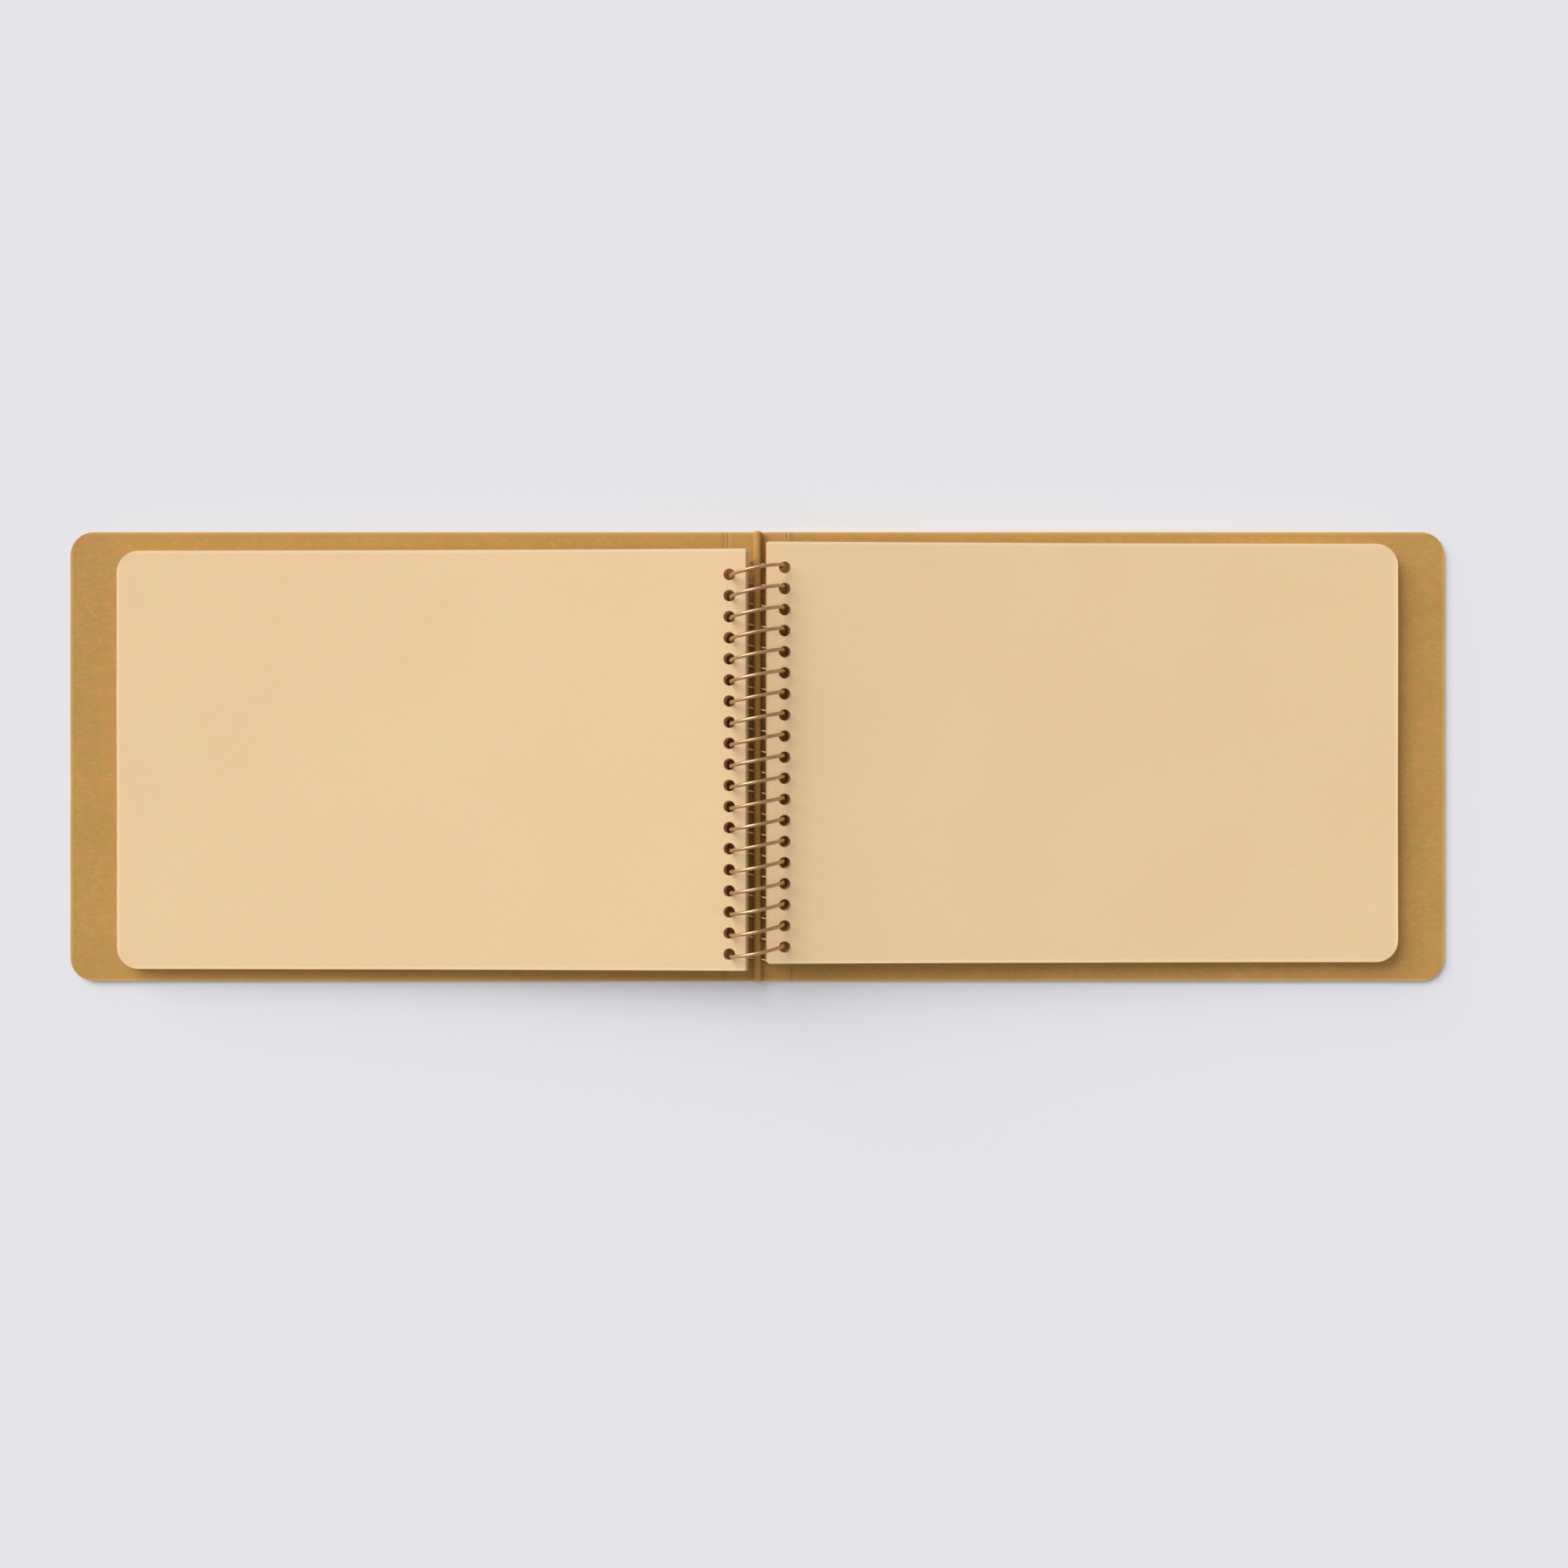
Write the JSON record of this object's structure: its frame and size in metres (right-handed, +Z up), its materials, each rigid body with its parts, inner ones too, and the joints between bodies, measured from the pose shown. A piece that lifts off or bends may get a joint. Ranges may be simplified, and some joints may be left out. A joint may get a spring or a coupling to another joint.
{
  "type": "spiral sketchbook",
  "caption": "Landscape sketchbook lying open, with a creased kraft board cover and punched drawing leaves on one wire coil.",
  "frame": {"origin": "middle of the open book's underside, below the coil", "axes": "+X to the right across the open pages, +Y up the page along the coil, +Z up from the table"},
  "size_m": [0.331, 0.108, 0.0147],
  "materials": {
    "kraft_board": "uncoated kraft board",
    "drawing_paper": "uncoated cream drawing paper",
    "wire": "bright rose-coloured metal"
  },
  "bodies": {
    "spine": {"spine_panel": "kraft_board", "coil": "wire"},
    "front_cover": {"front_cover": "kraft_board"},
    "back_cover": {"back_cover": "kraft_board"},
    "leaf_01": {"leaf_01": "drawing_paper"},
    "leaf_02": {"leaf_02": "drawing_paper"},
    "leaf_03": {"leaf_03": "drawing_paper"},
    "leaf_04": {"leaf_04": "drawing_paper"},
    "leaf_05": {"leaf_05": "drawing_paper"},
    "leaf_06": {"leaf_06": "drawing_paper"},
    "leaf_07": {"leaf_07": "drawing_paper"},
    "leaf_08": {"leaf_08": "drawing_paper"},
    "leaf_09": {"leaf_09": "drawing_paper"},
    "leaf_10": {"leaf_10": "drawing_paper"},
    "leaf_11": {"leaf_11": "drawing_paper"},
    "leaf_12": {"leaf_12": "drawing_paper"},
    "leaf_13": {"leaf_13": "drawing_paper"},
    "leaf_14": {"leaf_14": "drawing_paper"},
    "leaf_15": {"leaf_15": "drawing_paper"},
    "leaf_16": {"leaf_16": "drawing_paper"},
    "leaf_17": {"leaf_17": "drawing_paper"},
    "leaf_18": {"leaf_18": "drawing_paper"},
    "leaf_19": {"leaf_19": "drawing_paper"},
    "leaf_20": {"leaf_20": "drawing_paper"},
    "leaf_21": {"leaf_21": "drawing_paper"},
    "leaf_22": {"leaf_22": "drawing_paper"},
    "leaf_23": {"leaf_23": "drawing_paper"},
    "leaf_24": {"leaf_24": "drawing_paper"}
  },
  "joints": [
    {"name": "front_cover_fold", "type": "hinge", "parent": "spine", "child": "front_cover", "pos_m": [-0.00705, 0, 0.0009], "axis": [0, 1, 0], "range_deg": [0, 90]},
    {"name": "back_cover_fold", "type": "hinge", "parent": "spine", "child": "back_cover", "pos_m": [0.00705, 0, 0.0009], "axis": [0, -1, 0], "range_deg": [0, 90]},
    {"name": "leaf_01_turn", "type": "hinge", "parent": "spine", "child": "leaf_01", "pos_m": [0, 0, 0.00797], "axis": [0, 1, 0], "range_deg": [0, 91.45]},
    {"name": "leaf_02_turn", "type": "hinge", "parent": "spine", "child": "leaf_02", "pos_m": [0, 0, 0.00797], "axis": [0, 1, 0], "range_deg": [0, 91.45]},
    {"name": "leaf_03_turn", "type": "hinge", "parent": "spine", "child": "leaf_03", "pos_m": [0, 0, 0.00797], "axis": [0, 1, 0], "range_deg": [0, 91.45]},
    {"name": "leaf_04_turn", "type": "hinge", "parent": "spine", "child": "leaf_04", "pos_m": [0, 0, 0.00797], "axis": [0, 1, 0], "range_deg": [0, 91.45]},
    {"name": "leaf_05_turn", "type": "hinge", "parent": "spine", "child": "leaf_05", "pos_m": [0, 0, 0.00797], "axis": [0, 1, 0], "range_deg": [0, 91.45]},
    {"name": "leaf_06_turn", "type": "hinge", "parent": "spine", "child": "leaf_06", "pos_m": [0, 0, 0.00797], "axis": [0, 1, 0], "range_deg": [0, 91.45]},
    {"name": "leaf_07_turn", "type": "hinge", "parent": "spine", "child": "leaf_07", "pos_m": [0, 0, 0.00797], "axis": [0, 1, 0], "range_deg": [0, 91.45]},
    {"name": "leaf_08_turn", "type": "hinge", "parent": "spine", "child": "leaf_08", "pos_m": [0, 0, 0.00797], "axis": [0, 1, 0], "range_deg": [0, 91.45]},
    {"name": "leaf_09_turn", "type": "hinge", "parent": "spine", "child": "leaf_09", "pos_m": [0, 0, 0.00797], "axis": [0, 1, 0], "range_deg": [0, 91.45]},
    {"name": "leaf_10_turn", "type": "hinge", "parent": "spine", "child": "leaf_10", "pos_m": [0, 0, 0.00797], "axis": [0, 1, 0], "range_deg": [0, 91.45]},
    {"name": "leaf_11_turn", "type": "hinge", "parent": "spine", "child": "leaf_11", "pos_m": [0, 0, 0.00797], "axis": [0, 1, 0], "range_deg": [0, 91.45]},
    {"name": "leaf_12_turn", "type": "hinge", "parent": "spine", "child": "leaf_12", "pos_m": [0, 0, 0.00797], "axis": [0, 1, 0], "range_deg": [0, 91.45]},
    {"name": "leaf_13_turn", "type": "hinge", "parent": "spine", "child": "leaf_13", "pos_m": [0, 0, 0.00797], "axis": [0, -1, 0], "range_deg": [0, 91.45]},
    {"name": "leaf_14_turn", "type": "hinge", "parent": "spine", "child": "leaf_14", "pos_m": [0, 0, 0.00797], "axis": [0, -1, 0], "range_deg": [0, 91.45]},
    {"name": "leaf_15_turn", "type": "hinge", "parent": "spine", "child": "leaf_15", "pos_m": [0, 0, 0.00797], "axis": [0, -1, 0], "range_deg": [0, 91.45]},
    {"name": "leaf_16_turn", "type": "hinge", "parent": "spine", "child": "leaf_16", "pos_m": [0, 0, 0.00797], "axis": [0, -1, 0], "range_deg": [0, 91.45]},
    {"name": "leaf_17_turn", "type": "hinge", "parent": "spine", "child": "leaf_17", "pos_m": [0, 0, 0.00797], "axis": [0, -1, 0], "range_deg": [0, 91.45]},
    {"name": "leaf_18_turn", "type": "hinge", "parent": "spine", "child": "leaf_18", "pos_m": [0, 0, 0.00797], "axis": [0, -1, 0], "range_deg": [0, 91.45]},
    {"name": "leaf_19_turn", "type": "hinge", "parent": "spine", "child": "leaf_19", "pos_m": [0, 0, 0.00797], "axis": [0, -1, 0], "range_deg": [0, 91.45]},
    {"name": "leaf_20_turn", "type": "hinge", "parent": "spine", "child": "leaf_20", "pos_m": [0, 0, 0.00797], "axis": [0, -1, 0], "range_deg": [0, 91.45]},
    {"name": "leaf_21_turn", "type": "hinge", "parent": "spine", "child": "leaf_21", "pos_m": [0, 0, 0.00797], "axis": [0, -1, 0], "range_deg": [0, 91.45]},
    {"name": "leaf_22_turn", "type": "hinge", "parent": "spine", "child": "leaf_22", "pos_m": [0, 0, 0.00797], "axis": [0, -1, 0], "range_deg": [0, 91.45]},
    {"name": "leaf_23_turn", "type": "hinge", "parent": "spine", "child": "leaf_23", "pos_m": [0, 0, 0.00797], "axis": [0, -1, 0], "range_deg": [0, 91.45]},
    {"name": "leaf_24_turn", "type": "hinge", "parent": "spine", "child": "leaf_24", "pos_m": [0, 0, 0.00797], "axis": [0, -1, 0], "range_deg": [0, 91.45]}
  ],
  "couplings": [
    {"joint": "leaf_01_turn", "follows": "front_cover_fold", "ratio": 1.0161},
    {"joint": "leaf_02_turn", "follows": "front_cover_fold", "ratio": 1.0161},
    {"joint": "leaf_03_turn", "follows": "front_cover_fold", "ratio": 1.0161},
    {"joint": "leaf_04_turn", "follows": "front_cover_fold", "ratio": 1.0161},
    {"joint": "leaf_05_turn", "follows": "front_cover_fold", "ratio": 1.0161},
    {"joint": "leaf_06_turn", "follows": "front_cover_fold", "ratio": 1.0161},
    {"joint": "leaf_07_turn", "follows": "front_cover_fold", "ratio": 1.0161},
    {"joint": "leaf_08_turn", "follows": "front_cover_fold", "ratio": 1.0161},
    {"joint": "leaf_09_turn", "follows": "front_cover_fold", "ratio": 1.0161},
    {"joint": "leaf_10_turn", "follows": "front_cover_fold", "ratio": 1.0161},
    {"joint": "leaf_11_turn", "follows": "front_cover_fold", "ratio": 1.0161},
    {"joint": "leaf_12_turn", "follows": "front_cover_fold", "ratio": 1.0161},
    {"joint": "leaf_13_turn", "follows": "back_cover_fold", "ratio": 1.0161},
    {"joint": "leaf_14_turn", "follows": "back_cover_fold", "ratio": 1.0161},
    {"joint": "leaf_15_turn", "follows": "back_cover_fold", "ratio": 1.0161},
    {"joint": "leaf_16_turn", "follows": "back_cover_fold", "ratio": 1.0161},
    {"joint": "leaf_17_turn", "follows": "back_cover_fold", "ratio": 1.0161},
    {"joint": "leaf_18_turn", "follows": "back_cover_fold", "ratio": 1.0161},
    {"joint": "leaf_19_turn", "follows": "back_cover_fold", "ratio": 1.0161},
    {"joint": "leaf_20_turn", "follows": "back_cover_fold", "ratio": 1.0161},
    {"joint": "leaf_21_turn", "follows": "back_cover_fold", "ratio": 1.0161},
    {"joint": "leaf_22_turn", "follows": "back_cover_fold", "ratio": 1.0161},
    {"joint": "leaf_23_turn", "follows": "back_cover_fold", "ratio": 1.0161},
    {"joint": "leaf_24_turn", "follows": "back_cover_fold", "ratio": 1.0161}
  ]
}
